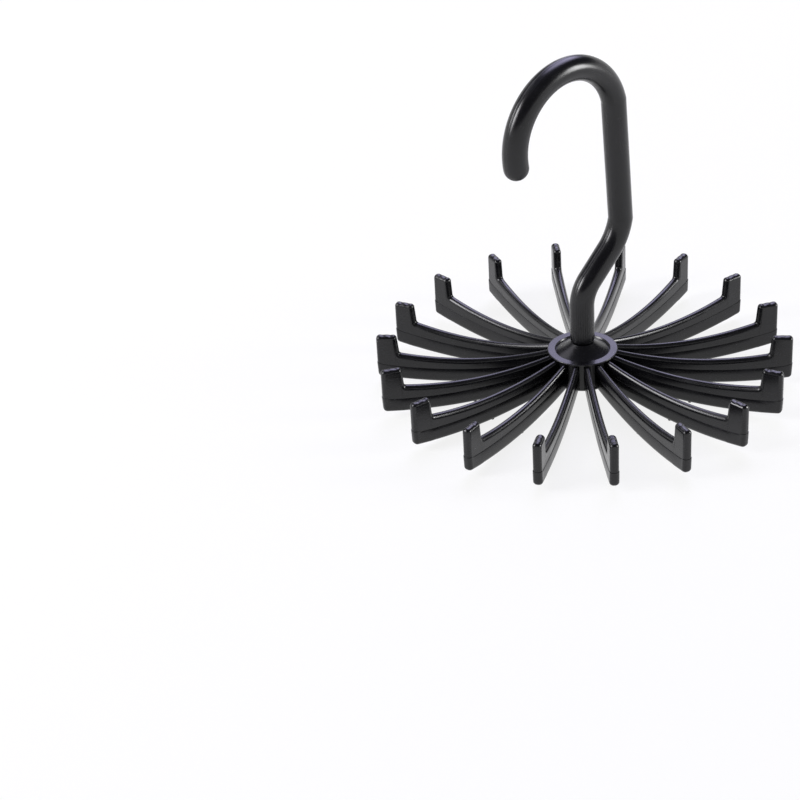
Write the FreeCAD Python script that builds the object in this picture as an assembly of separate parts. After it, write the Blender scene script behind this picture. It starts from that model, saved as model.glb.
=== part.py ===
import FreeCAD, Part
import math
import os
from FreeCAD import Vector

# Swivelling tie hanger, black moulded plastic. Lengths are millimetres and angles are degrees.
# +Z is up, along the swivel axis. The hook lies in the XZ plane, with its leg towards +X and its tip towards -X.
# While it is built, height 0 is the top of the hub's rim. On export everything is lowered, so that the origin is
# the point under the hook's loop, on the swivel axis, where the rail bears.

# Arms
arm_count = 18
first_arm_turn = 13.7
tip_radius = 80.0
finger_length = 8.0
finger_top = 5.4
finger_draft = 0.9
finger_corner_round = 1.5
toe_corner_round = 1.6
toe_lean = 0.3
notch_drop = 2.5
notch_round = 1.0
swale_radius = 45.0
swale_drop = 4.9
arm_depth_at_hub = 9.9
arm_depth_at_swale = 9.9
arm_depth_at_tip = 9.7
arm_thickness_at_hub = 2.4
arm_thickness_at_tip = 3.4
arm_edge_round = 1.05
parting_height_share = 0.6
parting_step = 0.12
ejector_pad_place = 43.6
ejector_pad_diameter = 1.4
ejector_pad_height = 0.35

# Key-shaped root of each arm, and its slot in the drum
root_thickness = 2.3
root_length = 1.4
neck_thickness = 1.3
neck_length = 1.2
arm_embed = 0.5
slot_clearance = 0.04
mouth_floor_clearance = 0.3

# Hub disc
disc_radius = 13.5
disc_thickness = 1.2
lip_thickness = 0.6
rim_width = 2.9
rim_edge_round = 0.3
dish_depth = 0.6
dish_wall_draft = 0.4
collar_height = 3.2
collar_radius = 4.5
collar_flare_radius = 24.0

# Hub drum
drum_overhang = 1.1
drum_floor = 1.2
drum_edge_chamfer = 0.4
ledge_height = 3.9

# Hook
rod_diameter = 9.4
loop_inside_diameter = 41.0
tip_past_level = 10.0
leg_joint_turn = 17.0
leg_lean = 3.9
leg_length = 49.5
crease_straight = 1.0
crook_crease = 13.0
crook_slope = 48.5
crook_upper_radius = 20.0
crook_lower_radius = 13.0
crook_run = 13.5
foot_length = 14.9
foot_edge_round = 1.3

# Swivel: spigot and snap head of the hook, in the bore of the disc and drum
spigot_radius = 2.8
swivel_clearance = 0.08
swivel_play = 0.1
snap_catch = 0.8
snap_land = 0.8
snap_lead_height = 2.2
snap_tip_radius = 2.3
snap_room = 0.5
slit_width = 1.2
slit_length = 9.0

# Cuts run this far past what they cut
overrun = 2.0

# Worked out from the sizes above
rod_radius = rod_diameter / 2
bore_radius = spigot_radius + swivel_clearance
snap_radius = bore_radius + snap_catch
drum_radius = disc_radius - drum_overhang
drum_top = -disc_thickness
root_floor = drum_top - arm_depth_at_hub
drum_bottom = root_floor - drum_floor
ledge = drum_bottom + ledge_height
arm_start = drum_radius - arm_embed
neck_start = arm_start - neck_length
root_start = neck_start - root_length
finger_start = tip_radius - finger_length
toe_bottom = -notch_drop - arm_depth_at_tip
line_at_tip = toe_bottom + arm_depth_at_tip * parting_height_share
foot_bottom = collar_height + swivel_play


def direction(turn_from_vertical):
    """Unit vector in the hook's plane, pointing up and turned towards +X by the given angle."""
    turn = math.radians(turn_from_vertical)
    return Vector(math.sin(turn), 0, math.cos(turn))


def bend(start, turn_in, turn_out, radius):
    """Arc in the hook's plane that turns a path from one direction to another, and its end point.

    Turns are angles from vertical, clockwise towards +X. A falling angle bends towards -X.
    """
    side = 1 if turn_out > turn_in else -1

    def point(turn):
        swing = math.radians(turn)
        first = math.radians(turn_in)
        along_x = side * radius * (math.cos(first) - math.cos(swing))
        along_z = side * radius * (math.sin(swing) - math.sin(first))
        return start + Vector(along_x, 0, along_z)

    end = point(turn_out)
    return Part.Arc(start, point((turn_in + turn_out) / 2), end).toShape(), end


def rod_along(edges, start, heading):
    """Round rod swept along tangent edges from a start point and heading."""
    circle = Part.makeCircle(rod_radius, start, heading)
    return Part.Wire(edges).makePipeShell([Part.Wire(circle)], True, False)


def trimmed(rod, corner, outward):
    """Rod without what lies past a corner, cut on the plane there that faces outward."""
    reach = rod_diameter + overrun
    block = Part.makeBox(reach, reach, rod_diameter, Vector(-reach / 2, -reach / 2, 0))
    block.Placement = FreeCAD.Placement(corner, FreeCAD.Rotation(Vector(0, 0, 1), outward))
    return rod.cut(block)


def mitred(lower, upper, corner, lower_way, upper_way):
    """Two rods that run straight past a corner, each cut on the plane that halves their angle, and joined."""
    normal = lower_way + upper_way
    normal.normalize()
    return trimmed(lower, corner, normal).fuse(trimmed(upper, corner, -normal))


def hook_layout():
    """Points of the hook's centreline, worked upwards from the foot to the tip."""
    foot_base = Vector(0, 0, foot_bottom + foot_edge_round)
    foot_head = Vector(0, 0, foot_bottom + foot_length)
    lower_bend, run_start = bend(foot_head, 0, crook_slope, crook_lower_radius)
    run_end = run_start + direction(crook_slope) * crook_run
    upper_bend, crook_end = bend(run_end, crook_slope, crook_crease, crook_upper_radius)
    leg_foot = crook_end + direction(crook_crease) * crease_straight
    leg_head = leg_foot + direction(-leg_lean) * leg_length
    loop_start = leg_head + direction(-leg_joint_turn) * crease_straight
    loop_radius = loop_inside_diameter / 2 + rod_radius
    loop_centre = loop_start - direction(90 - leg_joint_turn) * loop_radius
    return {
        "foot_base": foot_base,
        "foot_head": foot_head,
        "lower_bend": lower_bend,
        "run_start": run_start,
        "run_end": run_end,
        "upper_bend": upper_bend,
        "crook_end": crook_end,
        "leg_foot": leg_foot,
        "leg_head": leg_head,
        "loop_start": loop_start,
        "loop_centre": loop_centre,
        "loop_radius": loop_radius,
    }


def rail_seat_height(layout):
    """Height of the loop's inner side straight above the swivel axis."""
    inside = loop_inside_diameter / 2
    offset = layout["loop_centre"].x
    return layout["loop_centre"].z + math.sqrt(inside ** 2 - offset ** 2)


def revolved(points):
    """Solid of revolution about the swivel axis from a closed (radius, height) outline.

    A point given as a pair of pairs is an arc: through the first pair, to the second.
    """
    corners = []
    edges = []
    for point in points:
        if isinstance(point[0], tuple):
            middle, end = (Vector(r, 0, z) for r, z in point)
            edges.append(Part.Arc(corners[-1], middle, end).toShape())
        else:
            end = Vector(point[0], 0, point[1])
            if corners:
                edges.append(Part.makeLine(corners[-1], end))
        corners.append(end)
    edges.append(Part.makeLine(corners[-1], corners[0]))
    face = Part.Face(Part.Wire(edges))
    return face.revolve(Vector(0, 0, 0), Vector(0, 0, 1), 360)


def quarter(centre, radius, start_turn):
    """Middle and end of a quarter circle round a centre, anticlockwise from a starting angle."""
    spots = []
    for turn in (start_turn + 45, start_turn + 90):
        angle = math.radians(turn)
        spots.append((centre[0] + radius * math.cos(angle), centre[1] + radius * math.sin(angle)))
    return tuple(spots)


def swivel_spigot():
    """The hook's rounded foot end with its spigot and split snap head, all round the swivel axis."""
    round_centre = (rod_radius - foot_edge_round, foot_bottom + foot_edge_round)
    shoulder = ledge - swivel_play
    land_end = shoulder - snap_land
    tip = land_end - snap_lead_height
    rounding = quarter(round_centre, foot_edge_round, -90)
    turned = revolved([
        (0, round_centre[1]),
        (0, tip),
        (snap_tip_radius, tip),
        (snap_radius, land_end),
        (snap_radius, shoulder),
        (spigot_radius, shoulder),
        (spigot_radius, foot_bottom),
        (round_centre[0], foot_bottom),
        rounding,
    ])
    slit_span = 2 * snap_radius + overrun
    slit_base = Vector(-slit_span / 2, -slit_width / 2, tip - overrun)
    slit = Part.makeBox(slit_span, slit_width, slit_length + overrun, slit_base)
    return turned.cut(slit)


def make_hook(layout):
    """Hook: round tip, loop, leg, crook and foot as one rod, with the swivel's spigot below."""
    crook_way = direction(crook_crease)
    leg_way = direction(-leg_lean)
    loop_way = direction(-leg_joint_turn)

    foot = Part.makeLine(layout["foot_base"], layout["foot_head"])
    run = Part.makeLine(layout["run_start"], layout["run_end"])
    crook_past = Part.makeLine(layout["crook_end"], layout["leg_foot"] + crook_way * rod_radius)
    crook_path = [foot, layout["lower_bend"], run, layout["upper_bend"], crook_past]
    crook = rod_along(crook_path, layout["foot_base"], Vector(0, 0, 1))

    leg_start = layout["leg_foot"] - leg_way * rod_radius
    leg = Part.makeCylinder(rod_radius, leg_length + rod_diameter, leg_start, leg_way)

    centre = layout["loop_centre"]
    start_turn = 90 - leg_joint_turn
    end_turn = -90 - tip_past_level
    middle = centre + direction((start_turn + end_turn) / 2) * layout["loop_radius"]
    tip = centre + direction(end_turn) * layout["loop_radius"]
    loop_before = layout["leg_head"] - loop_way * rod_radius
    loop_path = [
        Part.makeLine(loop_before, layout["loop_start"]),
        Part.Arc(layout["loop_start"], middle, tip).toShape(),
    ]
    loop = rod_along(loop_path, loop_before, loop_way)
    round_tip = Part.makeSphere(rod_radius, tip, direction(end_turn - 90), 0, 90, 360)

    stem = mitred(crook, leg, layout["leg_foot"], crook_way, leg_way)
    rod = mitred(stem, loop, layout["leg_head"], leg_way, loop_way)
    return rod.fuse([round_tip, swivel_spigot()]).removeSplitter()


def make_disc():
    """Hub disc: flat rim, short drafted wall, and the hollow flare that rises from it to the hook's foot.

    Past the drum's neck slots the rim is a thin lip, which lies on the arms.
    """
    rim_inner = disc_radius - rim_width
    lip_start = arm_start - slot_clearance
    dish_floor = -dish_depth
    dish_radius = rim_inner - dish_wall_draft
    run = dish_radius - collar_radius
    rise = collar_height - dish_floor
    chord = math.hypot(run, rise)
    sag = collar_flare_radius - math.sqrt(collar_flare_radius ** 2 - chord ** 2 / 4)
    flare_middle = (
        (dish_radius + collar_radius) / 2 - sag * rise / chord,
        (collar_height + dish_floor) / 2 - sag * run / chord,
    )
    outer_round = quarter((disc_radius - rim_edge_round, -rim_edge_round), rim_edge_round, 0)
    inner_round = quarter((rim_inner + rim_edge_round, -rim_edge_round), rim_edge_round, 90)
    return revolved([
        (bore_radius, -disc_thickness),
        (lip_start, -disc_thickness),
        (lip_start, -lip_thickness),
        (disc_radius, -lip_thickness),
        (disc_radius, -rim_edge_round),
        outer_round,
        (rim_inner + rim_edge_round, 0),
        inner_round,
        (dish_radius, dish_floor),
        (flare_middle, (collar_radius, collar_height)),
        (bore_radius, collar_height),
    ])


def upright_block(start, end, thickness, bottom, top):
    """Block along the radius, centred on it, between two radii and two heights."""
    return Part.makeBox(end - start, thickness, top - bottom, Vector(start, -thickness / 2, bottom))


def make_drum():
    """Hub drum: bored for the spigot, hollowed below for the snap head, slotted round its side for the arms."""
    hollow_radius = snap_radius + snap_room
    chamfer_start = drum_radius - drum_edge_chamfer
    drum = revolved([
        (bore_radius, drum_top),
        (bore_radius, ledge),
        (hollow_radius, ledge),
        (hollow_radius, drum_bottom),
        (chamfer_start, drum_bottom),
        (drum_radius, drum_bottom + drum_edge_chamfer),
        (drum_radius, drum_top),
    ])
    above = drum_top + overrun
    root_end = neck_start + slot_clearance
    root_slot = upright_block(
        root_start - slot_clearance, root_end, root_thickness + 2 * slot_clearance, root_floor, above
    )
    neck_slot = upright_block(
        root_start, tip_radius, neck_thickness + 2 * slot_clearance, root_floor, above
    )
    mouth_slot = upright_block(
        arm_start - slot_clearance, tip_radius, arm_thickness_at_hub + 2 * (parting_step + slot_clearance),
        root_floor - mouth_floor_clearance, above,
    )
    slot = root_slot.fuse([neck_slot, mouth_slot])
    slots = [turned_to_arm(slot, number) for number in range(arm_count)]
    return drum.cut(slots).removeSplitter()


def turned_to_arm(shape, number):
    """Copy of a shape made along +X, turned about the swivel axis to one arm's direction."""
    copy = shape.copy()
    turn = first_arm_turn + 360 / arm_count * number
    copy.rotate(Vector(0, 0, 0), Vector(0, 0, 1), turn)
    return copy


def swale(start, start_height, end, end_height, drop):
    """Shallow arc along the arm, hollow side up, through the lowest point of the swale."""
    return Part.Arc(
        Vector(start, 0, start_height), Vector(swale_radius, 0, -drop), Vector(end, 0, end_height)
    ).toShape()


def across(shape, thickness):
    """Face in the arm's upright plane, pushed out to both sides to a thickness."""
    body = shape.extrude(Vector(0, thickness, 0))
    body.translate(Vector(0, -thickness / 2, 0))
    return body


def half_thickness(radius, skin):
    """Half of the blade's thickness at a radius, with a skin added to its side."""
    share = (radius - arm_start) / (tip_radius - arm_start)
    return (arm_thickness_at_hub + (arm_thickness_at_tip - arm_thickness_at_hub) * share) / 2 + skin


def blade(skin, lean):
    """One arm's blade with its upturned finger, every edge rounded but those at the drum.

    The skin is added to both sides. The lean draws the outer end in, from the parting line down to the toe.
    """
    crown = tip_radius + lean * (finger_top - line_at_tip) / (line_at_tip - toe_bottom)
    notch = finger_start - finger_draft
    top = swale(arm_start, -lip_thickness, notch, -notch_drop, swale_drop)
    bottom_drop = swale_drop + arm_depth_at_swale
    toe = tip_radius - lean
    bottom = swale(arm_start, root_floor, toe, toe_bottom, bottom_drop)
    outline = [
        top,
        Part.makeLine(Vector(notch, 0, -notch_drop), Vector(finger_start, 0, finger_top)),
        Part.makeLine(Vector(finger_start, 0, finger_top), Vector(crown, 0, finger_top)),
        Part.makeLine(Vector(crown, 0, finger_top), Vector(toe, 0, toe_bottom)),
        bottom,
        Part.makeLine(Vector(arm_start, 0, root_floor), Vector(arm_start, 0, -lip_thickness)),
    ]
    face = Part.Face(Part.Wire(Part.__sortEdges__(outline)))
    body = across(face, arm_thickness_at_tip + overrun)
    rounds = [
        (notch, -notch_drop, notch_round),
        (finger_start, finger_top, finger_corner_round),
        (crown, finger_top, finger_corner_round),
        (toe, toe_bottom, toe_corner_round),
    ]
    for radius, height, size in rounds:
        body = body.makeFillet(size, [cross_edge(body, radius, height)])

    wedge_end = tip_radius + overrun
    half_hub = half_thickness(arm_start, skin)
    half_end = half_thickness(wedge_end, skin)
    plan = Part.makePolygon([
        Vector(arm_start, -half_hub, 0),
        Vector(wedge_end, -half_end, 0),
        Vector(wedge_end, half_end, 0),
        Vector(arm_start, half_hub, 0),
        Vector(arm_start, -half_hub, 0),
    ])
    low = toe_bottom - swale_drop - overrun
    wedge = Part.Face(plan).extrude(Vector(0, 0, finger_top + overrun - low))
    wedge.translate(Vector(0, 0, low))
    body = body.common(wedge).removeSplitter()
    return body.makeFillet(arm_edge_round, side_edges(body))


def cross_edge(body, radius, height):
    """The straight edge that runs across the arm at one corner of its outline."""
    corner = Vector(radius, 0, height)
    lines = [edge for edge in body.Edges if isinstance(edge.Curve, Part.Line)]
    return min(lines, key=lambda edge: edge.CenterOfMass.distanceToPoint(corner))


def side_edges(body):
    """Edges that bound the two flat sides of a blade, without the upright ones at its inner end."""
    edges = []
    for face in body.Faces:
        if not isinstance(face.Surface, Part.Plane):
            continue
        if abs(face.normalAt(0, 0).y) < math.cos(math.radians(45)):
            continue
        for edge in face.Edges:
            if edge.CenterOfMass.x - arm_start > arm_embed:
                edges.append(edge)
    return edges


def make_arm():
    """One arm along +X: blade, neck, root and ejector pad.

    Below the mould's parting line the blade is a step thicker, and its outer end leans in.
    """
    line_at_hub = root_floor + arm_depth_at_hub * parting_height_share
    line_drop = swale_drop + arm_depth_at_swale * (1 - parting_height_share)
    top = finger_top + overrun
    start = arm_start - overrun
    end = tip_radius + overrun
    above = Part.Face(Part.Wire(Part.__sortEdges__([
        swale(start, line_at_hub, end, line_at_tip, line_drop),
        Part.makeLine(Vector(end, 0, line_at_tip), Vector(end, 0, top)),
        Part.makeLine(Vector(end, 0, top), Vector(start, 0, top)),
        Part.makeLine(Vector(start, 0, top), Vector(start, 0, line_at_hub)),
    ])))
    upper_space = across(above, arm_thickness_at_tip + overrun)
    upper = blade(0, 0).common(upper_space)
    lower = blade(parting_step, toe_lean).cut(upper_space)
    root = upright_block(root_start, neck_start, root_thickness, root_floor, drum_top)
    neck = upright_block(neck_start, arm_start, neck_thickness, root_floor, drum_top)
    return upper.fuse([lower, neck, root, ejector_pad()]).removeSplitter()


def ejector_pad():
    """Low round pad on the arm's bottom edge, left by the mould's ejector pin."""
    arm_bottom = -swale_drop - arm_depth_at_swale
    base = Vector(ejector_pad_place, 0, arm_bottom - ejector_pad_height)
    return Part.makeCylinder(ejector_pad_diameter / 2, arm_depth_at_swale / 2, base)


def export(name, shape, drop):
    """Lower a finished piece to the rail seat's frame and write it as one node."""
    placed = shape.copy()
    placed.translate(Vector(0, 0, -drop))
    solids = placed.Solids
    if len(solids) != 1 or not placed.isValid():
        raise ValueError(f"{name}: {len(solids)} solids, valid {placed.isValid()}")
    solids[0].exportStep(f"parts/{name}.step")
    box = placed.BoundBox
    print(f"{name}: volume {placed.Volume:.1f} mm3, z {box.ZMin:.2f} to {box.ZMax:.2f}")


def main():
    os.makedirs("parts", exist_ok=True)
    layout = hook_layout()
    drop = rail_seat_height(layout)
    centre = layout["loop_centre"]
    print(f"loop centre x {centre.x:.2f}, z {centre.z - drop:.2f}, rail seat {drop:.2f} above the rim")
    export("hook", make_hook(layout), drop)
    export("hub_disc", make_disc(), drop)
    export("hub_drum", make_drum(), drop)
    arm = make_arm()
    for number in range(arm_count):
        export(f"arm_{number + 1:02d}", turned_to_arm(arm, number), drop)


main()
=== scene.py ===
"""A black moulded tie hanger: a hook that swivels over a hub with eighteen upturned arms."""

import logging
import math
from dataclasses import dataclass
from enum import Enum
from typing import Any

import bpy
import numpy as np
from mathutils import Matrix, Vector
from numpy.typing import NDArray


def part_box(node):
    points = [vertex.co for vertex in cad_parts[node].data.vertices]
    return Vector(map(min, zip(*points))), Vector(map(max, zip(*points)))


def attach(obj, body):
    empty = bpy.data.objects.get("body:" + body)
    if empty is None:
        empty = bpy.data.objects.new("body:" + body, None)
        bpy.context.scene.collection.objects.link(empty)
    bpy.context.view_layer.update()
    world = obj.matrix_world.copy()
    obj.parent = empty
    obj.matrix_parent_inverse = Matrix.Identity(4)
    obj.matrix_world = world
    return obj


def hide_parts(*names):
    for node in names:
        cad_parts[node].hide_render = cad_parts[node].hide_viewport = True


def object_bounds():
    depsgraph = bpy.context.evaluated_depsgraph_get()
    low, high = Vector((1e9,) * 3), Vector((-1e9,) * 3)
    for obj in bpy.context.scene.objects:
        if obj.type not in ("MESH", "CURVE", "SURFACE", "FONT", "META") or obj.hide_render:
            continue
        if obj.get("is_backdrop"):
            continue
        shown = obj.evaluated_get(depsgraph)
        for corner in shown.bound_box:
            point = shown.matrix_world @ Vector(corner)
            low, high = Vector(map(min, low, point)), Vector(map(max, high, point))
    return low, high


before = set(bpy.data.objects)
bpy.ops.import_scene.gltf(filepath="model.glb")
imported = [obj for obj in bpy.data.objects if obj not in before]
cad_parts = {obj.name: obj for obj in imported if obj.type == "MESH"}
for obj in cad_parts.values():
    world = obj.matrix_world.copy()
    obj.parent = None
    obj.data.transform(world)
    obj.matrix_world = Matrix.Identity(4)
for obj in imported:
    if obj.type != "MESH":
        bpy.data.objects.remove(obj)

LOG = logging.getLogger("tie_hanger")
ROD_MAP = "rod"
Colour = tuple[float, float, float, float]


class Signal:
    """A shader socket that takes part in Python arithmetic. Each operation adds a Math node."""

    def __init__(self, bench: "Bench", socket: bpy.types.NodeSocket) -> None:
        """Keeps the socket and the bench whose tree it is in."""
        self.bench = bench
        self.socket = socket

    def port(self, name: str) -> "Signal":
        """Another output of the same node."""
        return Signal(self.bench, self.socket.node.outputs[name])

    def math(self, operation: str, first: "Signal | float", second: "Signal | float" = 0.0) -> "Signal":
        """One Math node.

        Args:
            operation: Blender's name for the operation.
            first: Value or socket on the node's first input.
            second: Value or socket on the node's second input.

        Returns:
            The node's result.
        """
        return self.bench.node("ShaderNodeMath", {"operation": operation}, {0: first, 1: second})

    def __add__(self, other: "Signal | float") -> "Signal":
        """self + other."""
        return self.math("ADD", self, other)

    def __radd__(self, other: float) -> "Signal":
        """other + self."""
        return self.math("ADD", other, self)

    def __mul__(self, other: "Signal | float") -> "Signal":
        """self * other."""
        return self.math("MULTIPLY", self, other)

    def __rmul__(self, other: float) -> "Signal":
        """other * self."""
        return self.math("MULTIPLY", other, self)

    def greatest(self, other: "Signal | float") -> "Signal":
        """The larger of the two values."""
        return self.math("MAXIMUM", self, other)

    def eased(self, low: float, high: float) -> "Signal":
        """0 below low, 1 above high, and a smooth step between them."""
        settings = {"interpolation_type": "SMOOTHSTEP"}
        sockets = {"Value": self, "From Min": low, "From Max": high}
        return self.bench.node("ShaderNodeMapRange", settings, sockets)


class Bench:
    """The node tree of one material or lamp, with one method that makes any node."""

    def __init__(self, owner: bpy.types.Material | bpy.types.Light) -> None:
        """Empties the owner's tree to work on it."""
        owner.use_nodes = True
        self.tree = owner.node_tree
        self.tree.nodes.clear()

    def node(
        self,
        kind: str,
        settings: dict[str, Any] | None = None,
        sockets: dict[str | int, Any] | None = None,
        output: str | int = 0,
    ) -> Signal:
        """Adds a node.

        Args:
            kind: Blender's name for the node's type.
            settings: Its properties, which are set before its sockets.
            sockets: Values or signals for its inputs, by name or number.
            output: The output to hand back, by name or number.

        Returns:
            That output, or the first input of a node that has no outputs.
        """
        made = self.tree.nodes.new(kind)
        for key, value in (settings or {}).items():
            setattr(made, key, value)
        for key, value in (sockets or {}).items():
            if isinstance(value, Signal):
                self.tree.links.new(value.socket, made.inputs[key])
            else:
                made.inputs[key].default_value = value
        return Signal(self, made.outputs[output] if made.outputs else made.inputs[0])

    def noise(self, vector: Signal, scale: float, detail: float = 2.0) -> Signal:
        """Noise from 0 to 1 round 0.5, with the given number of features per unit of the vector."""
        return self.node("ShaderNodeTexNoise", None, {"Vector": vector, "Scale": scale, "Detail": detail})

    def mix(self, share: Signal, first: Any, second: Any) -> Signal:
        """Colour that goes from first to second as share goes from 0 to 1."""
        settings = {"data_type": "RGBA"}
        return self.node("ShaderNodeMix", settings, {0: share, 6: first, 7: second}, 2)

    def surface(self, shader: Signal, kind: str = "ShaderNodeOutputMaterial") -> None:
        """Sends the shader to the owner's output."""
        self.node(kind, None, {"Surface": shader})


class Lay(Enum):
    """The way the plastic ran in the mould, which its faint streaks follow."""

    ROD = "along the rod"
    RADIAL = "outwards along an arm"
    RING = "round the hub"


LAY_PACE = {Lay.ROD: (55.0, 900.0, 1.0), Lay.RADIAL: (60.0, 14.0, 1100.0), Lay.RING: (2600.0, 2.2, 300.0)}


@dataclass(frozen=True)
class MouldedPlastic:
    """Black moulded plastic: satin gloss, flow streaks, fine grain, soft ripples and rubbed patches."""

    name: str
    lay: Lay
    black: Colour = (0.0040, 0.0040, 0.0052, 1.0)
    rubbed: Colour = (0.0075, 0.0075, 0.0092, 1.0)
    gloss: float = 0.19
    dull: float = 0.29
    index: float = 1.46
    grain_pitch: float = 0.00032
    grain_depth: float = 1.5e-7
    ripple_pitch: float = 0.009
    ripple_depth: float = 1.0e-5
    ripple_share: float = 0.6
    streak_share: float = 0.8
    rub_shares: tuple[float, float] = (0.7, 0.3)
    rub_edge: tuple[float, float] = (0.5, 0.72)
    dull_edge: tuple[float, float] = (0.3, 0.7)

    def lay_vector(self, bench: Bench, place: Signal) -> Signal:
        """Coordinates that run slowly along the lay and fast across it.

        Args:
            bench: The material's bench.
            place: Object coordinates in metres.

        Returns:
            A vector whose noise has long streaks: the rod's map for a rod, and for the hub and arms the
            distance from the swivel axis, the bearing round it and the height, each times its own pace.
        """
        pace = LAY_PACE[self.lay]
        if self.lay is Lay.ROD:
            chart = bench.node("ShaderNodeUVMap", {"uv_map": ROD_MAP})
            return bench.node("ShaderNodeVectorMath", {"operation": "MULTIPLY"}, {0: chart, 1: pace})
        parts = bench.node("ShaderNodeSeparateXYZ", None, {"Vector": place})
        across = parts.port("X")
        deep = parts.port("Y")
        height = parts.port("Z")
        radius = across.math("SQRT", across * across + deep * deep)
        bearing = across.math("ARCTAN2", deep, across)
        sockets = {"X": radius * pace[0], "Y": bearing * pace[1], "Z": height * pace[2]}
        return bench.node("ShaderNodeCombineXYZ", None, sockets)

    def material(self) -> bpy.types.Material:
        """Makes the material.

        Returns:
            A Principled surface whose colour and roughness rise in rubbed patches and along the flow streaks,
            with the grain and the ripples as bump.
        """
        material = bpy.data.materials.new(self.name)
        bench = Bench(material)
        place = bench.node("ShaderNodeTexCoord", None, None, "Object")
        streak = bench.noise(self.lay_vector(bench, place), 1.0, 3.0)
        cloud = bench.noise(place, 1.0 / self.ripple_pitch, 3.0)
        ripple = bench.noise(place, self.ripple_share / self.ripple_pitch, 1.0)
        grain = bench.noise(place, 1.0 / self.grain_pitch, 2.0)
        rub = (cloud * self.rub_shares[0] + streak * self.rub_shares[1]).eased(*self.rub_edge)
        colour = bench.mix(rub, self.black, self.rubbed)
        dullness = cloud * 0.5 + streak * 0.5
        roughness = self.gloss + (self.dull - self.gloss) * dullness.eased(*self.dull_edge)
        fine = grain * self.grain_depth + streak * (self.grain_depth * self.streak_share)
        height = ripple * self.ripple_depth + fine
        bump = bench.node("ShaderNodeBump", None, {"Strength": 1.0, "Distance": 1.0, "Height": height})
        sockets = {
            "Base Color": colour,
            "Roughness": roughness,
            "IOR": self.index,
            "Normal": bump,
        }
        bench.surface(bench.node("ShaderNodeBsdfPrincipled", None, sockets))
        return material


@dataclass
class Skin:
    """A closed tube of rings, each closed on itself, with a flat cap on its first ring.

    Attributes:
        rings: Points by ring and by column round the ring, anticlockwise seen from the last ring.
        along: Distance of each ring along the tube, for the map.
        girth: Length once round, for the map.
        pole: Point that closes the last ring, or None for a flat cap there too.
        sharp_rings: Rings that stay crisp edges.
        sharp_columns: Columns that stay crisp edges from the first smooth ring on.
    """

    rings: NDArray
    along: NDArray
    girth: float
    pole: NDArray | None = None
    sharp_rings: tuple[int, ...] = ()
    sharp_columns: tuple[int, ...] = ()

    def made(self, name: str) -> bpy.types.Object:
        """Puts the tube into a mesh.

        Args:
            name: The piece's name.

        Returns:
            The piece, at the origin, smooth but for its crisp edges, with a map of metres along and round it.
        """
        count, columns = self.rings.shape[:2]
        index = np.arange(count * columns).reshape(count, columns)
        after = np.roll(index, -1, axis=1)
        quads = np.stack([index[:-1], after[:-1], after[1:], index[1:]], axis=-1).reshape(-1, 4)
        points = self.rings.reshape(-1, 3)
        faces = [index[0, ::-1].tolist()] + quads.tolist()
        if self.pole is None:
            faces.append(index[-1].tolist())
        else:
            tip = np.full(columns, count * columns)
            points = np.vstack([points, self.pole])
            faces += np.stack([index[-1], after[-1], tip], axis=-1).tolist()
        mesh = bpy.data.meshes.new(name)
        mesh.from_pydata(points.tolist(), [], faces, shade_flat=False)
        self.chart(mesh, count, columns)
        self.crease(mesh, count, columns)
        piece = bpy.data.objects.new(name, mesh)
        bpy.context.scene.collection.objects.link(piece)
        return piece

    def chart(self, mesh: bpy.types.Mesh, count: int, columns: int) -> None:
        """Adds the map: along the tube on one axis and round it on the other, in metres.

        Args:
            mesh: The tube's mesh.
            count: Number of rings.
            columns: Number of points in a ring.
        """
        corners = np.zeros(len(mesh.loops), dtype=np.int32)
        mesh.loops.foreach_get("vertex_index", corners)
        ring = np.minimum(corners // columns, count - 1)
        turn = (corners % columns) / columns
        spans = np.zeros(len(mesh.polygons), dtype=np.int32)
        mesh.polygons.foreach_get("loop_total", spans)
        face = np.repeat(np.arange(len(spans)), spans)
        lowest = np.full(len(spans), np.inf)
        np.minimum.at(lowest, face, turn)
        highest = np.zeros(len(spans))
        np.maximum.at(highest, face, turn)
        wraps = (highest - lowest > 0.5) & (spans <= 4)
        turn = np.where(wraps[face] & (turn < 0.5), turn + 1.0, turn)
        values = np.stack([self.along[ring], turn * self.girth], axis=-1)
        mesh.uv_layers.new(name=ROD_MAP).data.foreach_set("uv", values.astype(np.float32).ravel())

    def crease(self, mesh: bpy.types.Mesh, count: int, columns: int) -> None:
        """Marks the crisp edges: whole rings, and columns along the tube.

        Args:
            mesh: The tube's mesh.
            count: Number of rings.
            columns: Number of points in a ring.
        """
        ends = np.zeros(len(mesh.edges) * 2, dtype=np.int32)
        mesh.edges.foreach_get("vertices", ends)
        ends = ends.reshape(-1, 2)
        ring = ends // columns
        column = ends % columns
        inside = ends.max(axis=1) < count * columns
        on_ring = (ring[:, 0] == ring[:, 1]) & np.isin(ring[:, 0], self.sharp_rings)
        on_column = (column[:, 0] == column[:, 1]) & np.isin(column[:, 0], self.sharp_columns)
        crisp = mesh.attributes.new("sharp_edge", "BOOLEAN", "EDGE")
        crisp.data.foreach_set("value", inside & (on_ring | on_column))


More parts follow.
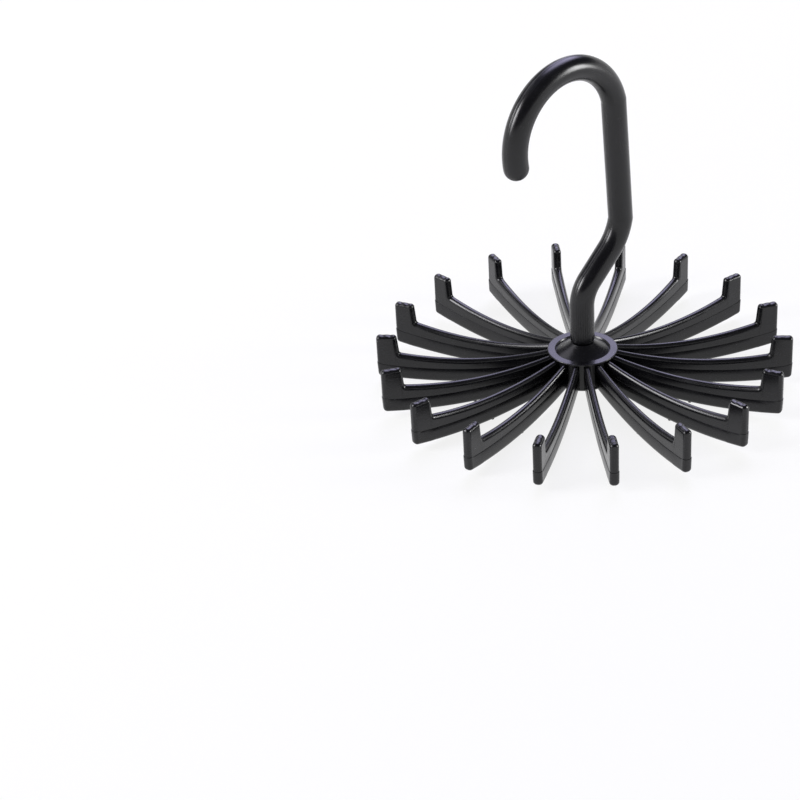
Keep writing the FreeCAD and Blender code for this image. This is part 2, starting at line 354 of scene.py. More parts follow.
class RodLine:
    """Gathers the rings of a round rod whose centreline stays in the XZ plane."""

    def __init__(self, x: float, z: float) -> None:
        """Starts at a point, heading straight up."""
        self.spot = np.array([x, z])
        self.turn = 0.0
        self.rows: list[NDArray] = []
        self.crisp: list[int] = []

    def ring_count(self) -> int:
        """Number of rings so far."""
        return sum(len(row) for row in self.rows)

    def add(self, x: Any, z: Any, turn: Any, radius: Any, ridge: Any, stretch: Any = 1.0) -> None:
        """Adds rings.

        Args:
            x: Centre's X, one value or one for each ring.
            z: Centre's Z.
            turn: Heading from vertical towards +X, in radians.
            radius: Radius of the ring.
            ridge: Share of the seam's depth, from 0 to 1.
            stretch: How much wider the ring is in the rod's plane, for a mitre.
        """
        given = (np.atleast_1d(value).astype(float) for value in (x, z, turn, radius, ridge, stretch))
        self.rows.append(np.stack(np.broadcast_arrays(*given), axis=-1))

    def straight(self, length: float, radius: float) -> None:
        """Runs on by a length at the present heading and ends with a ring."""
        self.spot = self.spot + length * np.array([math.sin(self.turn), math.cos(self.turn)])
        self.add(self.spot[0], self.spot[1], self.turn, radius, 1.0)

    def bend(self, turn_out: float, bend_radius: float, radius: float, pitch: float) -> None:
        """Turns along an arc of radius R, signed by the side.

        Along it x goes by R (cos in - cos turn) and z by R (sin turn - sin in).

        Args:
            turn_out: Heading at the arc's end, in radians.
            bend_radius: The centreline's radius.
            radius: The rod's radius.
            pitch: Greatest angle between rings, in radians.
        """
        steps = math.ceil(abs(turn_out - self.turn) / pitch)
        turns = np.linspace(self.turn, turn_out, steps + 1)[1:]
        signed = math.copysign(bend_radius, turn_out - self.turn)
        x = self.spot[0] + signed * (math.cos(self.turn) - np.cos(turns))
        z = self.spot[1] + signed * (np.sin(turns) - math.sin(self.turn))
        self.add(x, z, turns, radius, 1.0)
        self.spot = np.array([x[-1], z[-1]])
        self.turn = turn_out

    def mitre(self, length: float, turn_out: float, radius: float) -> None:
        """Runs on by a length to a crisp corner, with the ring in the plane that halves the angle.

        Args:
            length: Length of the straight before the corner.
            turn_out: Heading past the corner, in radians.
            radius: The rod's radius.
        """
        self.spot = self.spot + length * np.array([math.sin(self.turn), math.cos(self.turn)])
        half = (turn_out - self.turn) / 2
        self.crisp.append(self.ring_count())
        self.add(self.spot[0], self.spot[1], self.turn + half, radius, 1.0, 1.0 / math.cos(half))
        self.turn = turn_out


@dataclass(frozen=True)
class Hook:
    """The hook: a round rod with mitred corners and a mould seam in its plane, on a split snap spigot.

    Lengths are metres and turns are degrees from vertical towards +X.
    """

    rod_radius: float = 0.0047
    seam_depth: float = 0.00006
    seam_columns: int = 2
    columns: int = 160
    foot_play: float = 0.0001
    foot_round: float = 0.0013
    foot_length: float = 0.0149
    crook_slope: float = 48.5
    crook_lower_radius: float = 0.013
    crook_upper_radius: float = 0.020
    crook_run: float = 0.0135
    crook_crease: float = 13.0
    crease_straight: float = 0.001
    leg_lean: float = 3.9
    leg_length: float = 0.0495
    leg_joint_turn: float = 17.0
    loop_radius: float = 0.0252
    tip_past_level: float = 10.0
    spigot_radius: float = 0.0028
    snap_radius: float = 0.00368
    snap_tip_radius: float = 0.0023
    snap_lead: float = 0.0022
    snap_land: float = 0.0008
    slit_width: float = 0.0012
    slit_length: float = 0.009
    arc_pitch: float = 2.5
    foot_steps: int = 9
    tip_steps: int = 17
    prong_columns: int = 33

    def from_seam(self) -> NDArray:
        """How many columns each column of the rod is off the mould seam, which lies in its plane."""
        half = self.columns // 2
        return np.abs((np.arange(self.columns) + half // 2) % half - half // 2)

    def line(self) -> RodLine:
        """Gathers the rings from the spigot's slit up the foot, crook and leg, and round the loop to the tip.

        Returns:
            The filled line.
        """
        foot_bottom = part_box("hub_disc")[1].z + self.foot_play
        slit_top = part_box("hook")[0].z + self.slit_length
        core = self.rod_radius
        path = RodLine(0.0, foot_bottom + self.foot_round)
        path.add(0.0, slit_top, 0.0, self.spigot_radius, 0.0)
        path.add(0.0, foot_bottom, 0.0, self.spigot_radius, 0.0)
        swing = np.linspace(0, np.pi / 2, self.foot_steps)
        rise = foot_bottom + self.foot_round * (1 - np.cos(swing))
        path.add(0.0, rise, 0.0, core - self.foot_round * (1 - np.sin(swing)), np.sin(swing))
        path.crisp.extend((0, 1, 2))
        pitch = math.radians(self.arc_pitch)
        path.straight(self.foot_length - self.foot_round, core)
        path.bend(math.radians(self.crook_slope), self.crook_lower_radius, core, pitch)
        path.straight(self.crook_run, core)
        path.bend(math.radians(self.crook_crease), self.crook_upper_radius, core, pitch)
        path.mitre(self.crease_straight, math.radians(-self.leg_lean), core)
        path.mitre(self.leg_length, math.radians(-self.leg_joint_turn), core)
        path.straight(self.crease_straight, core)
        path.bend(math.radians(-180.0 - self.tip_past_level), self.loop_radius, core, pitch)
        round_off = np.linspace(0, np.pi / 2, self.tip_steps)[1:-1]
        ahead = core * np.sin(round_off)
        way = np.array([math.sin(path.turn), math.cos(path.turn)])
        shrink = np.cos(round_off)
        x, z = path.spot[:, None] + ahead * way[:, None]
        path.add(x, z, path.turn, core * shrink, shrink)
        path.spot = path.spot + core * way
        return path

    def rod(self) -> bpy.types.Object:
        """Builds the rod.

        Each ring's point is its centre + (radius - depth) * (stretch * cos a * side + sin a * Y). Side is the
        direction in the rod's plane square to the heading. Depth is that of the fine grooves some columns off
        the seam, on both sides of it, and zero elsewhere.

        Returns:
            The rod's piece.
        """
        path = self.line()
        x, z, turn, radius, ridge, stretch = np.vstack(path.rows).T
        angle = np.linspace(0, 2 * np.pi, self.columns, endpoint=False)
        beside = np.abs(self.from_seam() - self.seam_columns)
        reach = radius[:, None] - self.seam_depth * ridge[:, None] * (beside == 0)
        sideways = reach * np.cos(angle) * stretch[:, None]
        rings = np.stack(
            [
                x[:, None] + sideways * np.cos(turn)[:, None],
                reach * np.sin(angle),
                z[:, None] - sideways * np.sin(turn)[:, None],
            ],
            axis=-1,
        )
        steps = np.hypot(np.hypot(np.diff(x), np.diff(z)), np.diff(radius))
        along = np.concatenate([[0.0], np.cumsum(steps)])
        pole = np.array([[path.spot[0], 0.0, path.spot[1]]])
        seams = tuple(np.flatnonzero(beside <= 1).tolist())
        skin = Skin(rings, along, 2 * np.pi * self.rod_radius, pole, tuple(path.crisp), seams)
        return skin.made("hook_rod")

    def prong(self, side: int) -> bpy.types.Object:
        """Builds one half of the split snap head: at each height the part of a circle beyond the slit.

        Args:
            side: 1 for the half towards +Y, -1 for the other.

        Returns:
            The prong's piece.
        """
        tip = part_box("hook")[0].z
        land = tip + self.snap_lead
        shoulder = land + self.snap_land
        heights = np.array([tip, land, shoulder, shoulder, tip + self.slit_length])
        head = [self.snap_tip_radius, self.snap_radius, self.snap_radius]
        radii = np.array(head + [self.spigot_radius, self.spigot_radius])
        start = np.arcsin(self.slit_width / 2 / radii)
        angle = start[:, None] + (np.pi - 2 * start[:, None]) * np.linspace(0, 1, self.prong_columns)
        x = side * radii[:, None] * np.cos(angle)
        y = side * radii[:, None] * np.sin(angle)
        rings = np.stack([x, y, np.broadcast_to(heights[:, None], x.shape)], axis=-1)
        along = np.concatenate([[0.0], np.cumsum(np.hypot(np.diff(heights), np.diff(radii)))])
        edges = (0, self.prong_columns - 1)
        skin = Skin(rings, along, 2 * np.pi * self.spigot_radius, None, tuple(range(len(heights))), edges)
        return skin.made(f"snap_prong_{1 if side > 0 else 2}")

    def build(self, finish: MouldedPlastic) -> None:
        """Builds and dresses the rod and both prongs, which stand for the hook's solid.

        Args:
            finish: The hook's plastic.
        """
        material = finish.material()
        pieces = [self.rod(), self.prong(1), self.prong(-1)]
        for piece in pieces:
            piece.data.materials.append(material)
            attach(piece, "hook")
            LOG.info("%s: %d faces", piece.name, len(piece.data.polygons))
        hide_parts("hook")


class Shell:
    """Gathers grids of points, and the flat caps that close them, into one mesh."""

    def __init__(self) -> None:
        """Starts with nothing."""
        self.points: list[NDArray] = []
        self.faces: list[list[int]] = []
        self.count = 0

    def number(self, points: NDArray) -> NDArray:
        """Adds points and hands back their numbers, by row and column."""
        index = self.count + np.arange(points[..., 0].size).reshape(points.shape[:-1])
        self.points.append(points.reshape(-1, 3))
        self.count += index.size
        return index

    def quads(self, index: NDArray, wrap: bool = False) -> None:
        """Adds the quads among numbered points.

        A step along a row, crossed with a step down a column, points outwards.

        Args:
            index: Numbers of the points, by row and column.
            wrap: Whether the last column joins the first.
        """
        if wrap:
            index = np.concatenate([index, index[:, :1]], axis=1)
        corners = [index[:-1, :-1], index[:-1, 1:], index[1:, 1:], index[1:, :-1]]
        self.faces += np.stack(corners, axis=-1).reshape(-1, 4).tolist()

    def prism(self, rings: NDArray) -> None:
        """Adds rings of points that are closed round and capped flat at the first and the last ring."""
        index = self.number(rings)
        self.quads(index, wrap=True)
        self.faces += [index[0, ::-1].tolist(), index[-1].tolist()]

    def made(self, name: str, crisp: float = 30.0) -> bpy.types.Object:
        """Puts what was gathered into a mesh.

        Args:
            name: The piece's name.
            crisp: Edges that turn by more than this many degrees stay crisp.

        Returns:
            The piece, at the origin.
        """
        mesh = bpy.data.meshes.new(name)
        mesh.from_pydata(np.vstack(self.points).tolist(), [], self.faces, shade_flat=False)
        mesh.set_sharp_from_angle(angle=math.radians(crisp))
        piece = bpy.data.objects.new(name, mesh)
        bpy.context.scene.collection.objects.link(piece)
        return piece


def arc_through(first: NDArray, middle: NDArray, last: NDArray, count: int, cut: float = 0.0) -> NDArray:
    """Points on the circle through three points, whose centre is equally far from all of them.

    Args:
        first: Where the arc starts.
        middle: A point on it.
        last: Where it ends.
        count: Number of points.
        cut: Length left off at the end.

    Returns:
        The points, evenly spaced.
    """
    chords = np.stack([middle - first, last - first])
    to_centre = np.linalg.solve(2 * chords, (chords**2).sum(axis=1))
    centre = first + to_centre
    radius = np.hypot(*to_centre)
    start = np.arctan2(*-to_centre[::-1])
    sweep = (np.arctan2(*(last - centre)[::-1]) - start + np.pi) % (2 * np.pi) - np.pi
    sweep -= np.sign(sweep) * cut / radius
    turn = start + sweep * np.linspace(0, 1, count)
    return centre + radius * np.stack([np.cos(turn), np.sin(turn)], axis=-1)


def heading(first: NDArray, last: NDArray) -> NDArray:
    """Unit vector from one point to another."""
    return (last - first) / np.hypot(*(last - first))


def rounded(corner: NDArray, way_in: NDArray, way_out: NDArray, radius: float, count: int) -> NDArray:
    """Arc that rounds a corner.

    Its points are start + radius * (sin a * way in + (1 - cos a) * inward), with a from 0 to the turn.

    Args:
        corner: The sharp corner.
        way_in: Unit vector of the line into it.
        way_out: Unit vector of the line out of it.
        radius: The arc's radius.
        count: Number of points.

    Returns:
        The arc's points with both ends.
    """
    turn = math.atan2(way_in[0] * way_out[1] - way_in[1] * way_out[0], way_in @ way_out)
    inward = math.copysign(1.0, turn) * np.array([-way_in[1], way_in[0]])
    start = corner - radius * math.tan(abs(turn) / 2) * way_in
    swing = np.linspace(0, abs(turn), count)[:, None]
    return start + radius * (np.sin(swing) * way_in + (1 - np.cos(swing)) * inward)


def between(first: NDArray, last: NDArray, count: int) -> NDArray:
    """Points of a straight line, without its ends."""
    return first + (last - first) * np.linspace(0, 1, count + 2)[1:-1, None]


@dataclass(frozen=True)
class Hub:
    """The hub: a turned cap with a flat rim and a hollow cone, over the drum, which keeps its solid."""

    cap_radius: float = 0.0135
    cap_thickness: float = 0.0012
    lip_thickness: float = 0.0006
    lip_start: float = 0.01186
    rim_width: float = 0.0029
    rim_round: float = 0.0003
    dish_depth: float = 0.0006
    dish_draft: float = 0.0004
    collar_height: float = 0.0032
    collar_radius: float = 0.0045
    flare_radius: float = 0.024
    bore_radius: float = 0.00288
    guard: float = 0.00006
    columns: int = 160
    round_steps: int = 9
    flare_steps: int = 33

    def rim_height(self) -> float:
        """Height of the rim's top: the cap's underside plus its thickness."""
        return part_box("hub_disc")[0].z + self.cap_thickness

    def profile(self) -> NDArray:
        """Outline of the cap, radius and height from the rim's top, anticlockwise.

        Returns:
            The outline's points; next to each round a guard point keeps the flat beside it flat.
        """
        inner = self.cap_radius - self.rim_width
        foot = np.array([inner - self.dish_draft, -self.dish_depth])
        head = np.array([self.collar_radius, self.collar_height])
        chord = head - foot
        length = np.hypot(*chord)
        sag = self.flare_radius - math.sqrt(self.flare_radius**2 - length**2 / 4)
        middle = (foot + head) / 2 + sag / length * np.array([-chord[1], chord[0]])
        edge = np.array([self.cap_radius, 0.0])
        lip = np.array([inner, 0.0])
        up = np.array([0.0, 1.0])
        inwards = np.array([-1.0, 0.0])
        margin = self.rim_round + self.guard
        top_flat = np.array([[self.cap_radius - margin, 0.0], [inner + margin, 0.0]])
        wall = heading(lip, foot)
        return np.concatenate(
            [
                [[self.bore_radius, -self.cap_thickness], [self.lip_start, -self.cap_thickness]],
                [[self.lip_start, -self.lip_thickness], [self.cap_radius, -self.lip_thickness]],
                rounded(edge, up, inwards, self.rim_round, self.round_steps),
                top_flat,
                rounded(lip, inwards, wall, self.rim_round, self.round_steps),
                arc_through(foot, middle, head, self.flare_steps),
                [[self.bore_radius, self.collar_height]],
            ]
        )

    def cap(self) -> bpy.types.Object:
        """Turns the cap's outline once round the swivel axis: (r cos a, r sin a, z)."""
        outline = self.profile()
        turn = np.linspace(0, 2 * np.pi, self.columns, endpoint=False)
        radius = outline[:, :1]
        height = np.broadcast_to(outline[:, 1:] + self.rim_height(), (len(outline), self.columns))
        shell = Shell()
        index = shell.number(np.stack([radius * np.cos(turn), radius * np.sin(turn), height], axis=-1))
        shell.quads(np.concatenate([index, index[:1]]), wrap=True)
        return shell.made("hub_cap")

    def build(self, finish: MouldedPlastic) -> None:
        """Builds and dresses the cap, and dresses the drum's solid.

        Args:
            finish: The hub's plastic.
        """
        material = finish.material()
        cap = self.cap()
        cap.data.materials.append(material)
        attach(cap, "spider")
        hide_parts("hub_disc")
        LOG.info("%s: %d faces", cap.name, len(cap.data.polygons))
        dress_nodes(("hub_drum",), material)


@dataclass(frozen=True)
class ArmRing:
    """The arms: round-edged blades with an upturned finger, a key-shaped root and an ejector pad.

    An arm is worked out along +X, in metres: distance from the swivel axis, sideways, and height from the
    rim's top.
    """

    count: int = 18
    first_turn: float = 13.7
    arm_start: float = 0.0119
    hub_top: float = -0.0006
    tip_radius: float = 0.080
    finger_length: float = 0.008
    finger_top: float = 0.0054
    finger_draft: float = 0.0009
    finger_round: float = 0.0015
    toe_round: float = 0.0016
    toe_lean: float = 0.0003
    notch_drop: float = 0.0025
    notch_round: float = 0.0010
    swale_radius: float = 0.045
    swale_drop: float = 0.0049
    depth_at_hub: float = 0.0099
    depth_at_swale: float = 0.0099
    depth_at_tip: float = 0.0097
    root_top: float = -0.0012
    thickness_at_hub: float = 0.0024
    thickness_at_tip: float = 0.0034
    edge_round: float = 0.0017
    finger_edge_round: float = 0.0014
    round_share: float = 0.96
    end_round_share: float = 0.82
    parting_share: float = 0.6
    parting_step: float = 0.00014
    bead_steps: int = 3
    end_step: float = 0.00013
    line_stop: float = 0.002
    guard: float = 0.00015
    sink_places: tuple[float, ...] = (0.0744, 0.0772)
    sink_depths: tuple[float, ...] = (0.00028, 0.00020)
    sink_reach: float = 0.00075
    sink_spread: float = 0.4
    sink_pace: float = 2.4
    key_start: float = 0.0093
    neck_start: float = 0.0107
    key_thickness: float = 0.0023
    neck_thickness: float = 0.0013
    pad_place: float = 0.0436
    pad_radius: float = 0.0007
    pad_height: float = 0.00035
    pad_break_share: float = 1 / 3
    pad_columns: int = 32
    swale_steps: int = 64
    round_steps: int = 10
    wall_points: int = 3
    crown_points: int = 9
    end_points: int = 7

    def bottom_at_hub(self) -> float:
        """Height of the blade's lower edge at the drum."""
        return self.root_top - self.depth_at_hub

    def line_at_tip(self) -> float:
        """Height of the mould's parting line at the outer end."""
        return -self.notch_drop - self.depth_at_tip * (1 - self.parting_share)

    def half_thickness(self, radius: NDArray) -> NDArray:
        """Half of the blade's thickness at a distance from the axis."""
        ends = (self.arm_start, self.tip_radius)
        return np.interp(radius, ends, (self.thickness_at_hub / 2, self.thickness_at_tip / 2))

    def top_chain(self) -> NDArray:
        """Upper outline from the drum along the swale and over the finger to the parting line.

        Returns:
            Points as distance from the axis and height.
        """
        end = self.tip_radius - self.end_step
        notch = np.array([self.tip_radius - self.finger_length - self.finger_draft, -self.notch_drop])
        inner = np.array([self.tip_radius - self.finger_length, self.finger_top])
        crown = np.array([end, self.finger_top])
        stop = np.array([end, self.line_at_tip()])
        first = np.array([self.arm_start, self.hub_top])
        low = np.array([self.swale_radius, -self.swale_drop])
        whole = arc_through(first, low, notch, self.swale_steps)
        along = heading(whole[-2], whole[-1])
        wall = heading(notch, inner)
        outwards = np.array([1.0, 0.0])
        down = np.array([0.0, -1.0])
        hollow = rounded(notch, along, wall, self.notch_round, self.round_steps)
        shoulder = rounded(inner, wall, outwards, self.finger_round, self.round_steps)
        crest = rounded(crown, outwards, down, self.finger_round, self.round_steps)
        swale = arc_through(first, low, notch, self.swale_steps, np.hypot(*(notch - hollow[0])) + self.guard)
        return np.concatenate(
            [
                swale,
                hollow,
                between(hollow[-1], shoulder[0], self.wall_points),
                shoulder,
                between(shoulder[-1], crest[0], self.crown_points),
                crest,
                between(crest[-1], stop, self.end_points),
                stop[None],
            ]
        )

    def bottom_chain(self, count: int) -> NDArray:
        """Lower outline from the drum along the swale, round the toe, up to the parting line.

        Args:
            count: Number of points.

        Returns:
            Points as distance from the axis and height.
        """
        toe = np.array([self.tip_radius - self.toe_lean, -self.notch_drop - self.depth_at_tip])
        stop = np.array([self.tip_radius, self.line_at_tip()])
        first = np.array([self.arm_start, self.bottom_at_hub()])
        low = np.array([self.swale_radius, -self.swale_drop - self.depth_at_swale])
        whole = arc_through(first, low, toe, self.swale_steps)
        along = heading(whole[-2], whole[-1])
        corner = rounded(toe, along, heading(toe, stop), self.toe_round, 2 * self.round_steps)
        swale = arc_through(first, low, toe, self.swale_steps, np.hypot(*(toe - corner[0])) + self.guard)
        rest = count - len(swale) - len(corner) - 1
        return np.concatenate([swale, corner, between(corner[-1], stop, rest), stop[None]])

    def parting_line(self, top: NDArray) -> NDArray:
        """Points in the blade's side that both outlines are joined to, under the swale and on to the finger.

        Args:
            top: The upper outline.

        Returns:
            As many points, on the arc of the mould's parting line.
        """
        upper = 1 - self.parting_share
        first = np.array([self.arm_start, self.root_top - self.depth_at_hub * upper])
        low = np.array([self.swale_radius, -self.swale_drop - self.depth_at_swale * upper])
        last = np.array([self.tip_radius, self.line_at_tip()])
        arc = arc_through(first, low, last, 4 * self.swale_steps)
        swale = top[: self.swale_steps, 0]
        finger = np.linspace(swale[-1], self.tip_radius - self.line_stop, len(top) - self.swale_steps + 1)[1:]
        radius = np.concatenate([swale, finger])
        return np.stack([radius, np.interp(radius, arc[:, 0], arc[:, 1])], axis=-1)

    def half_blade(self, chain: NDArray, line: NDArray, skin: float) -> NDArray:
        """Points of the blade above or below the parting line, by place along the outline and across it.

        Across, they go from the line on one side to the edge, over it on two quarters of an ellipse, and back
        to the line on the other side. A point of the edge lies inside the outline by round * (1 - sin a), at
        the side's distance times 1 - share * (1 - cos a). The share is less on the finger's outer end, which is
        flatter. Beside the line the skin swells on a quarter circle: step * (1 - cos b) from the line, and
        skin * sin b out.

        Args:
            chain: The outline, with the blade on its left.
            line: The parting line's points, in the same order.
            skin: What is added to each side.

        Returns:
            The points, by row along the outline and column across it.
        """
        steps = np.diff(chain, axis=0)
        ways = steps / np.hypot(steps[:, 0], steps[:, 1])[:, None]
        along = np.concatenate([ways[:1], ways[:-1] + ways[1:], ways[-1:]])
        along /= np.hypot(along[:, 0], along[:, 1])[:, None]
        inward = np.stack([-along[:, 1], along[:, 0]], axis=-1)
        swing = np.linspace(0, np.pi / 2, self.round_steps)
        notch_radius = self.tip_radius - self.finger_length - self.finger_draft
        finger = (notch_radius, notch_radius + self.finger_draft)
        depth = np.interp(chain[:, 0], finger, (self.edge_round, self.finger_edge_round))
        inset = depth[:, None] * (1 - np.sin(swing))
        edge = chain[:, None] + inward[:, None] * inset[..., None]
        reach = line - edge[:, 0]
        reach /= np.hypot(reach[:, 0], reach[:, 1])[:, None]
        support = edge[:, 0] + reach * self.guard
        bead = np.linspace(0, np.pi / 2, self.bead_steps + 1)[1:]
        swell = line[:, None] - reach[:, None] * (self.parting_step * (1 - np.cos(bead)))[:, None]
        flat = np.concatenate([swell, support[:, None], edge], axis=1)
        at_end = np.clip(-inward[:, :1], 0, 1) ** 2
        share = self.round_share + (self.end_round_share - self.round_share) * at_end
        draw_in = share * np.concatenate([np.zeros(self.bead_steps + 1), 1 - np.cos(swing)])
        proud = skin * np.concatenate([np.sin(bead), np.ones(1 + self.round_steps)])
        side = (self.half_thickness(flat[..., 0]) + proud) * (1 - draw_in)
        left = np.stack([flat[..., 0], -side, flat[..., 1]], axis=-1)
        right = np.stack([flat[..., 0], side, flat[..., 1]], axis=-1)
        return np.concatenate([left, right[:, ::-1]], axis=1)

    def sunk(self, points: NDArray, number: int) -> NDArray:
        """Lets the finger's top sink where the plastic shrank.

        The dip is depth * exp(-(distance / reach) squared) * (1 - across squared).

        Args:
            points: Points of the blade above the parting line.
            number: The arm's number, which makes its sinks a little deeper or shallower.

        Returns:
            The points, lowered.
        """
        x, y, z = np.moveaxis(points, -1, 0)
        crest = np.clip(1 - (self.finger_top - z) / self.finger_round, 0, 1)
        across = np.clip(1 - (y / self.half_thickness(x)) ** 2, 0, 1)
        places = np.array(self.sink_places)
        wave = np.sin(self.sink_pace * number + np.arange(len(places)))
        depths = np.array(self.sink_depths) * (1 + self.sink_spread * wave)
        dips = (depths * np.exp(-(((x[..., None] - places) / self.sink_reach) ** 2))).sum(axis=-1)
        return np.stack([x, y, z - crest * across * dips], axis=-1)

    def blade(self, number: int) -> Shell:
        """Joins the lower and upper half of the blade at the parting line's ledge, and closes the inner end.

        Args:
            number: The arm's number.

        Returns:
            The blade with its root's key and its ejector pad.
        """
        top = self.top_chain()
        bottom = self.bottom_chain(len(top))
        line = self.parting_line(top)
        lower = self.half_blade(bottom, line, self.parting_step)
        upper = self.sunk(self.half_blade(top[::-1], line[::-1], 0.0), number)
        shell = Shell()
        index = shell.number(np.concatenate([lower, upper]))
        shell.quads(index)
        under = index[: len(bottom)]
        over = index[len(bottom) :][::-1]
        shell.quads(np.stack([under[:, -1], over[:, -1]], axis=-1))
        shell.quads(np.stack([over[:, 0], under[:, 0]], axis=-1))
        shell.faces.append(np.concatenate([under[0, ::-1], over[0]]).tolist())
        shell.prism(self.key())
        shell.prism(self.pad())
        return shell

    def key(self) -> NDArray:
        """Two rings of the root's key: its plan of neck and head at the drum's floor and at its top."""
        plan = np.array(
            [
                [self.key_start, -self.key_thickness / 2],
                [self.neck_start, -self.key_thickness / 2],
                [self.neck_start, -self.neck_thickness / 2],
                [self.arm_start, -self.neck_thickness / 2],
            ]
        )
        plan = np.concatenate([plan, plan[::-1] * (1, -1)])
        heights = np.array([self.bottom_at_hub(), self.root_top])
        return np.stack([np.column_stack([plan, np.full(len(plan), height)]) for height in heights])

    def pad(self) -> NDArray:
        """Rings of the ejector pad: a low disc with a broken edge under the swale."""
        base = -self.swale_drop - self.depth_at_swale
        break_edge = self.pad_height * self.pad_break_share
        radii = np.array([self.pad_radius - break_edge, self.pad_radius, self.pad_radius])
        heights = base + np.array([-self.pad_height, -self.pad_height + break_edge, self.edge_round])
        turn = np.linspace(0, 2 * np.pi, self.pad_columns, endpoint=False)
        x = self.pad_place + radii[:, None] * np.cos(turn)
        y = radii[:, None] * np.sin(turn)
        return np.stack([x, y, np.broadcast_to(heights[:, None], x.shape)], axis=-1)

    def build(self, finish: MouldedPlastic, rim_height: float) -> None:
        """Builds, turns, places and dresses every arm.

        Args:
            finish: The arms' plastic.
            rim_height: Height of the rim's top in the frame.
        """
        material = finish.material()
        for number in range(self.count):
            shell = self.blade(number)
            turn = math.radians(self.first_turn + 360.0 / self.count * number)
            turned = np.array(Matrix.Rotation(turn, 3, "Z"))
            shell.points = [points @ turned.T + (0.0, 0.0, rim_height) for points in shell.points]
            piece = shell.made(f"arm_blade_{number + 1:02d}")
            piece.data.materials.append(material)
            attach(piece, "spider")
            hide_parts(f"arm_{number + 1:02d}")
            LOG.info("%s: %d faces", piece.name, len(piece.data.polygons))


def dress_nodes(names: tuple[str, ...], material: bpy.types.Material) -> None:
    """Puts a material on every slot of the named solids.

    Args:
        names: Names of the solids.
        material: Their new material.
    """
    for name in names:
        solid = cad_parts[name]
        for slot in solid.material_slots:
            slot.material = material
        LOG.info("%s: dressed, %d faces", name, len(solid.data.polygons))


@dataclass(frozen=True)
class PhotoCamera:
    """The camera, placed so that the hub's rim centre falls on its own pixel of the square picture.

    Angles are degrees, lengths are metres but for the lens and sensor, which are millimetres.
    """

    target: Vector
    azimuth: float = -134.1
    elevation: float = 29.797
    distance: float = 0.852468
    roll: float = -0.885
    lens: float = 99.25
    sensor: float = 36.0
    picture_side: float = 800.0
    target_pixel: tuple[float, float] = (582.527, 347.694)
    clip_near: float = 0.01
    clip_far: float = 50.0

    def front(self) -> Vector:
        """Unit vector along the floor to the camera."""
        bearing = math.radians(self.azimuth)
        return Vector((math.cos(bearing), math.sin(bearing), 0.0))

    def right(self) -> Vector:
        """Unit vector to the picture's right before the roll."""
        return Vector((0.0, 0.0, 1.0)).cross(self.front())

    def place(self) -> None:
        """Makes the camera and sets it as the scene's own.

        It looks at the target from the given side, then turns until the target stands at its pixel, then
        rolls about the line to the target.
        """
        rise = math.radians(self.elevation)
        back = self.front() * math.cos(rise) + Vector((0.0, 0.0, math.sin(rise)))
        right = self.right()
        down = right.cross(back)
        aimed = Matrix((right, down, -back))
        focal = self.lens / self.sensor * self.picture_side
        middle = self.picture_side / 2
        across, drop = ((spot - middle) / focal for spot in self.target_pixel)
        sight = Vector((across, drop, 1.0)).normalized()
        ahead = Vector((0.0, 0.0, 1.0))
        rolled = Matrix.Rotation(math.radians(self.roll), 3, sight)
        rows = rolled @ ahead.rotation_difference(sight).to_matrix() @ aimed
        axes = Matrix((rows[0], -rows[1], -rows[2])).transposed()
        data = bpy.data.cameras.new("camera")
        data.lens = self.lens
        data.sensor_width = self.sensor
        data.clip_start = self.clip_near
        data.clip_end = self.clip_far
        camera = bpy.data.objects.new("camera", data)
        camera.matrix_world = Matrix.Translation(self.target + back * self.distance) @ axes.to_4x4()
        bpy.context.scene.collection.objects.link(camera)
        bpy.context.scene.camera = camera


@dataclass(frozen=True)
class Softbox:
    """A soft edged lamp that faces the hanger, placed by its turn right of the camera's side and its rise."""

    name: str
    turn: float
    rise: float
    width: float
    height: float
    radiance: float
    tint: Colour = (1.0, 1.0, 1.0, 1.0)
    distance: float = 1.6
    core: float = 0.1
    edge: float = 0.5

    def light(self, view: PhotoCamera) -> None:
        """Makes the lamp.

        Args:
            view: The camera whose side the turn is measured from.
        """
        bearing = math.radians(view.azimuth + self.turn)
        rise = math.radians(self.rise)
        way = Vector((math.cos(bearing) * math.cos(rise), math.sin(bearing) * math.cos(rise), math.sin(rise)))
        data = bpy.data.lights.new(self.name, "AREA")
        data.shape = "RECTANGLE"
        data.size = self.width
        data.size_y = self.height
        data.energy = self.radiance * math.pi * self.width * self.height
        bench = Bench(data)
        spot = bench.node("ShaderNodeNewGeometry", None, None, "Parametric")
        settings = {"operation": "DISTANCE"}
        away = bench.node("ShaderNodeVectorMath", settings, {0: spot, 1: (0.5, 0.5, 0.0)}, "Value")
        glow = bench.mix(away.eased(self.core, self.edge), self.tint, (0.0, 0.0, 0.0, 1.0))
        bench.surface(bench.node("ShaderNodeEmission", None, {"Color": glow}), "ShaderNodeOutputLight")
        lamp = bpy.data.objects.new(self.name, data)
        lamp.location = view.target + way * self.distance
        lamp.rotation_mode = "QUATERNION"
        lamp.rotation_quaternion = way.to_track_quat("Z", "Y")
        lamp.visible_camera = False
        bpy.context.scene.collection.objects.link(lamp)


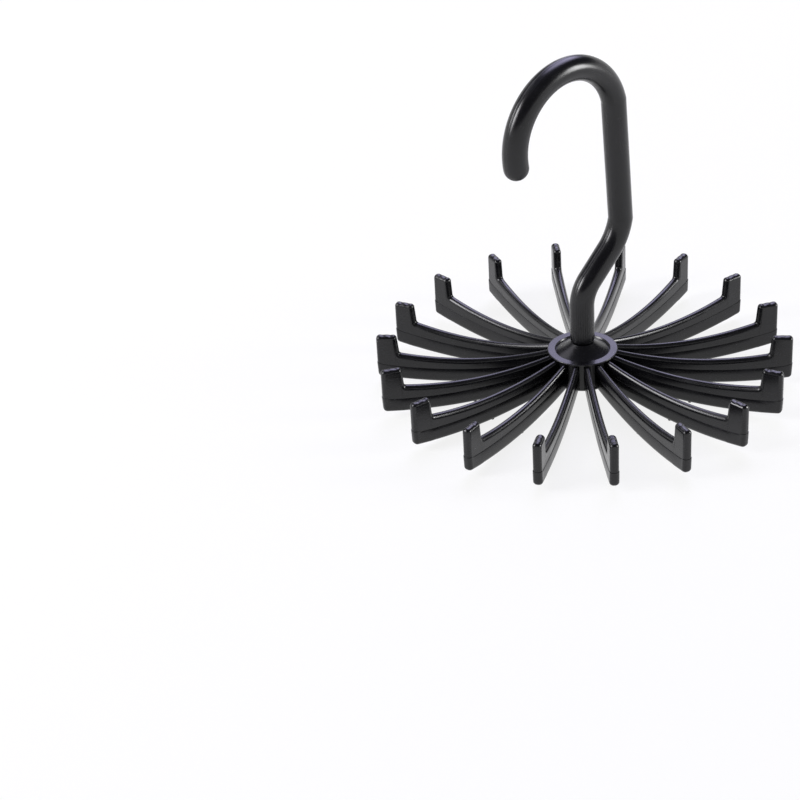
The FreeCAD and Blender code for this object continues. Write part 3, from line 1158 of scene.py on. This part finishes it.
@dataclass(frozen=True)
class Studio:
    """A pale floor that sweeps up into a low wall all round, soft lamps and a dim even sky."""

    floor_reach: float = 3.0
    cove_radius: float = 0.7
    wall_height: float = 0.5
    inner_rings: tuple[float, ...] = (0.4, 1.5)
    cove_steps: int = 25
    columns: int = 128
    fibre_pace: float = 240.0
    fibre_shade: float = 0.985
    paper: Colour = (0.85, 0.85, 0.85, 1.0)
    white: Colour = (1.0, 1.0, 1.0, 1.0)
    white_share: float = 0.85
    sky: Colour = (0.085, 0.085, 0.09, 1.0)
    lamps: tuple[Softbox, ...] = (
        Softbox("back_box", 175.0, 50.0, 1.4, 2.0, 5.4, (0.72, 0.69, 1.0, 1.0), core=0.2),
        Softbox("left_box", -75.0, 31.0, 0.95, 1.2, 15.6, (0.98, 0.97, 1.0, 1.0), core=0.2),
        Softbox("left_fill", -122.0, 48.0, 1.5, 0.9, 1.7, (0.92, 0.90, 1.0, 1.0), core=0.25),
        Softbox("right_box", 89.0, 16.0, 0.68, 1.08, 20.0, core=0.2),
    )

    def paper_material(self) -> bpy.types.Material:
        """Pale paper that shows part white of its own to the camera and in gloss; the rest keeps the shadow.

        Returns:
            The floor's material.
        """
        material = bpy.data.materials.new("pale_paper")
        bench = Bench(material)
        place = bench.node("ShaderNodeTexCoord", None, None, "Object")
        fibre = bench.noise(place, self.fibre_pace, 4.0)
        shade = tuple(self.fibre_shade * part for part in self.paper[:3]) + (1.0,)
        matt = bench.node("ShaderNodeBsdfDiffuse", None, {"Color": bench.mix(fibre, shade, self.paper)})
        glow = bench.node("ShaderNodeEmission", None, {"Color": self.white, "Strength": 1.0})
        ray = bench.node("ShaderNodeLightPath", None, None, "Is Camera Ray")
        mirrored = ray.port("Is Glossy Ray").greatest(ray.port("Is Transmission Ray"))
        seen = ray.greatest(mirrored) * self.white_share
        lit = bench.node("ShaderNodeMixShader", None, {0: seen, 1: matt, 2: glow})
        bench.surface(lit)
        return material

    def floor(self) -> None:
        """Builds the floor: an outline of flat, quarter circle and wall, turned round the swivel axis."""
        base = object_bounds()[0].z
        swing = np.linspace(0, np.pi / 2, self.cove_steps)
        reach = np.concatenate([self.inner_rings, self.floor_reach + self.cove_radius * np.sin(swing)])
        rise = np.concatenate([np.zeros(len(self.inner_rings)), self.cove_radius * (1 - np.cos(swing))])
        reach = np.append(reach, reach[-1])
        rise = np.append(rise, rise[-1] + self.wall_height) + base
        turn = np.linspace(0, 2 * np.pi, self.columns, endpoint=False)
        x = reach[:, None] * np.cos(turn)
        y = reach[:, None] * np.sin(turn)
        points = np.stack([x, y, np.broadcast_to(rise[:, None], x.shape)], axis=-1)
        index = np.arange(points.size // 3).reshape(points.shape[:2])
        after = np.roll(index, -1, axis=1)
        quads = np.stack([index[:-1], index[1:], after[1:], after[:-1]], axis=-1).reshape(-1, 4)
        mesh = bpy.data.meshes.new("floor")
        faces = [index[0].tolist()] + quads.tolist()
        mesh.from_pydata(points.reshape(-1, 3).tolist(), [], faces, shade_flat=False)
        mesh.materials.append(self.paper_material())
        floor = bpy.data.objects.new("floor", mesh)
        bpy.context.scene.collection.objects.link(floor)
        floor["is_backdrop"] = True

    def build(self, view: PhotoCamera) -> None:
        """Builds the floor, the lamps and the sky.

        Args:
            view: The camera that the lamps are placed round.
        """
        self.floor()
        for lamp in self.lamps:
            lamp.light(view)
        world = bpy.data.worlds.new("sky")
        world.use_nodes = True
        world.node_tree.nodes["Background"].inputs["Color"].default_value = self.sky
        bpy.context.scene.world = world
        bpy.context.scene.view_settings.view_transform = "Standard"


def main() -> None:
    """Builds and dresses the hook, hub and arms, then sets the studio and the camera round them."""
    logging.basicConfig(level=logging.INFO, format="%(name)s: %(message)s")
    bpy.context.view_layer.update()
    Hook().build(MouldedPlastic("hook_black", Lay.ROD))
    hub = Hub()
    hub.build(MouldedPlastic("hub_black", Lay.RING, gloss=0.2, dull=0.3))
    ArmRing().build(MouldedPlastic("arm_black", Lay.RADIAL, gloss=0.18, dull=0.32), hub.rim_height())
    view = PhotoCamera(Vector((0.0, 0.0, hub.rim_height())))
    Studio().build(view)
    view.place()


if __name__ == "__main__":
    main()
